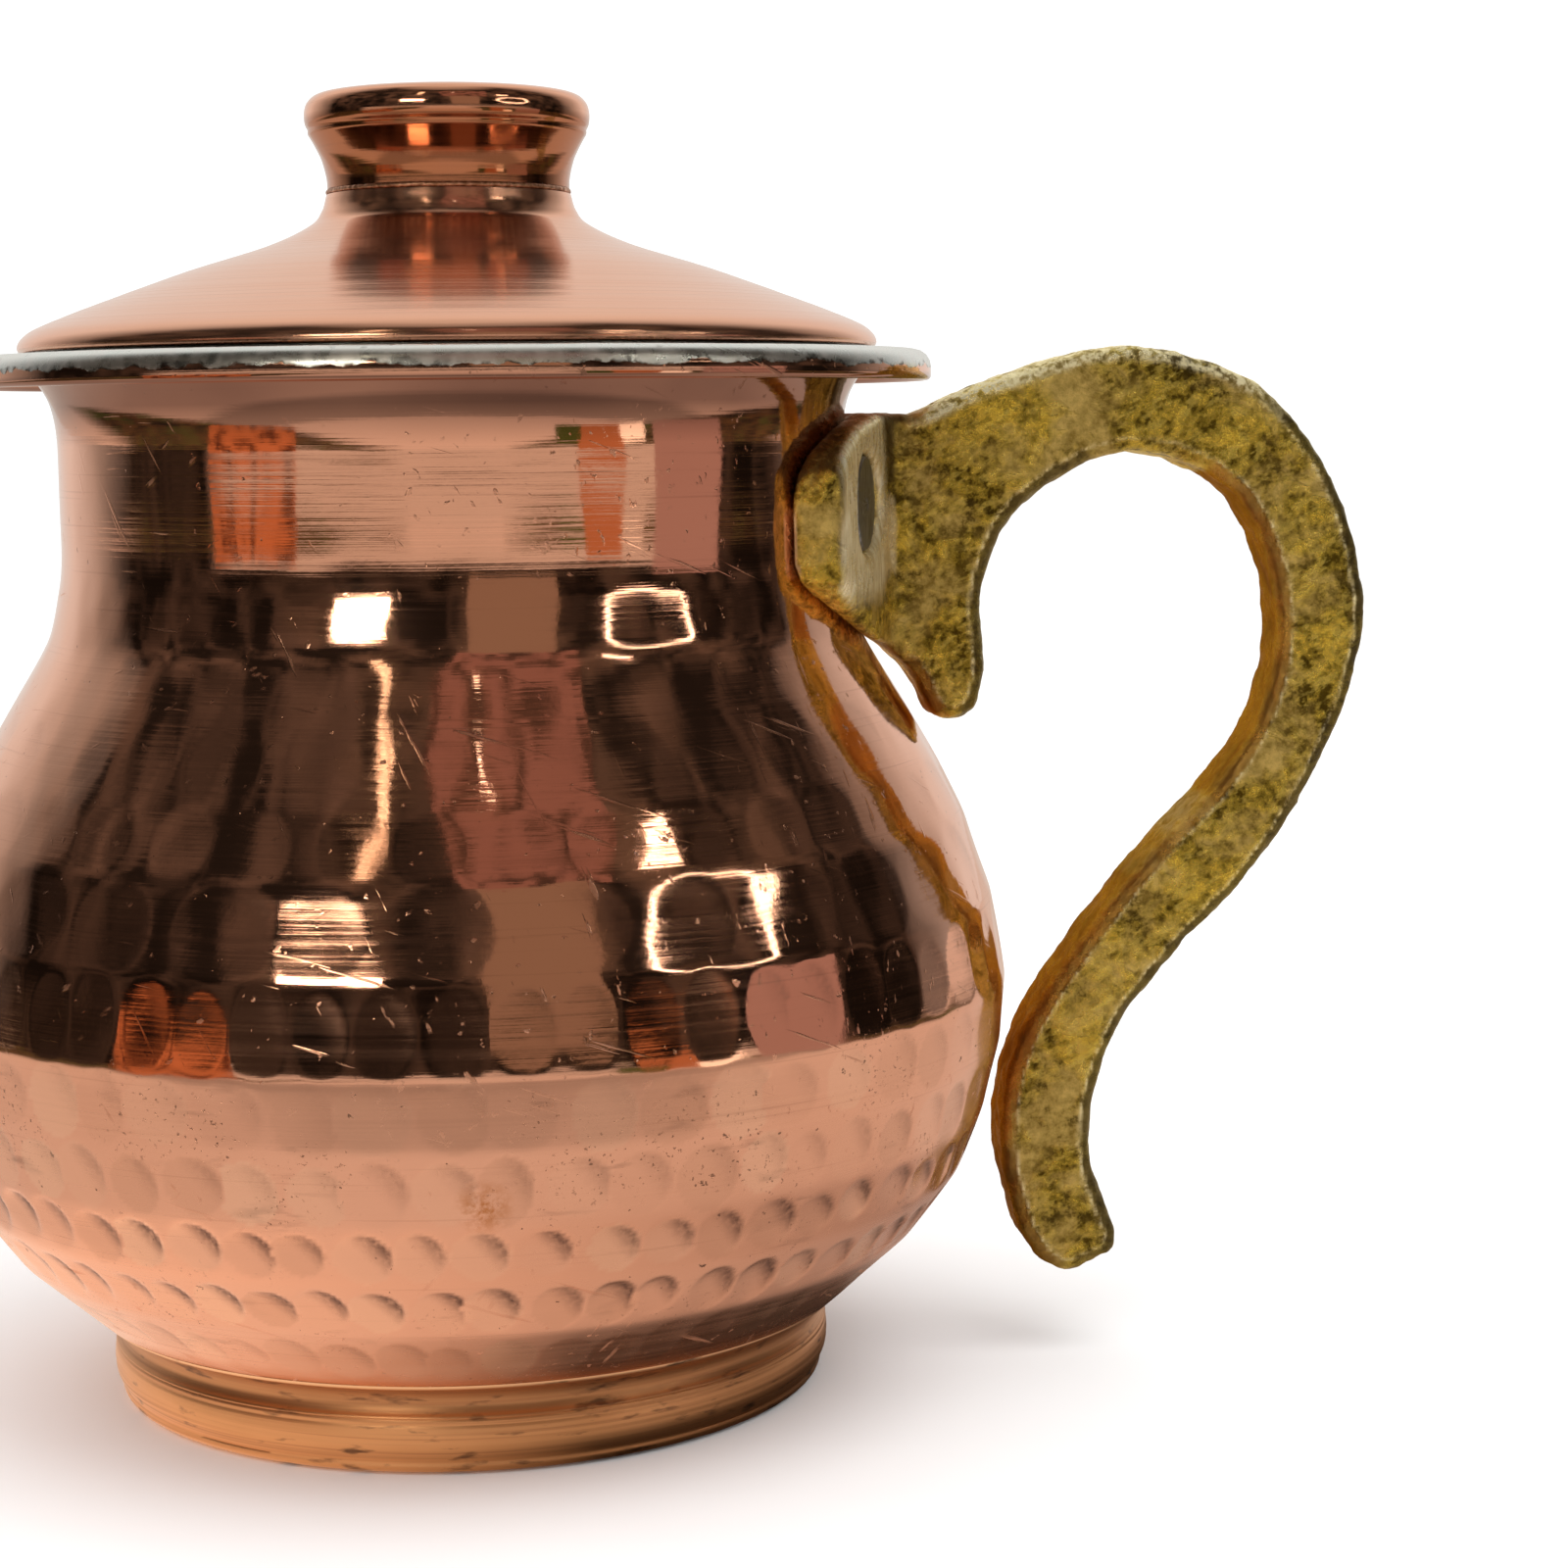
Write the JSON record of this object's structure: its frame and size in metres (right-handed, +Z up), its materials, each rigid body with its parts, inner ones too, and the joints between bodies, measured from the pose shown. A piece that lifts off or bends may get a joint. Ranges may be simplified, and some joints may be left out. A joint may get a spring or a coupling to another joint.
{
  "type": "lidded copper water pot",
  "caption": "Round-bellied hammered copper pot with a flat flared rim, a low foot, a lift-off knobbed lid and a cast brass loop handle with a curled tail.",
  "frame": {"origin": "middle of the flat underside of the foot, on the pot's axis", "axes": "+Z up along the pot's axis, +X from the axis towards the handle, +Y to the left when looking along +X"},
  "size_m": [0.1747, 0.13, 0.1528],
  "materials": {
    "polished_copper": "spun and hammered copper, polished outside, tinned grey inside and over the lip",
    "turned_copper": "spun copper with fine turning lines, duller and more orange than the body",
    "soft_solder": "dull grainy soft solder",
    "cast_brass": "sand-cast brass with a rough skin, filed bright beside the pad",
    "rivet_steel": "ground dark grey metal",
    "lid_copper": "spun and brushed copper, tinned underneath",
    "tinned_copper": "wiped tin, satin grey",
    "knob_joint": "grainy brazed joint",
    "knob_copper": "spun and polished copper"
  },
  "bodies": {
    "pot": {"pot_body": "polished_copper", "foot_base": "turned_copper", "foot_solder": "soft_solder", "handle": "cast_brass", "handle_rivet_front": "rivet_steel", "handle_rivet_back": "rivet_steel"},
    "lid": {"lid_shell": "lid_copper", "lid_collar": "tinned_copper", "knob_solder": "knob_joint", "lid_knob": "knob_copper"}
  },
  "joints": [
    {"name": "lid_lift", "type": "slide", "parent": "pot", "child": "lid", "axis": [0, 0, 1], "range_m": [0, 0.06]}
  ]
}
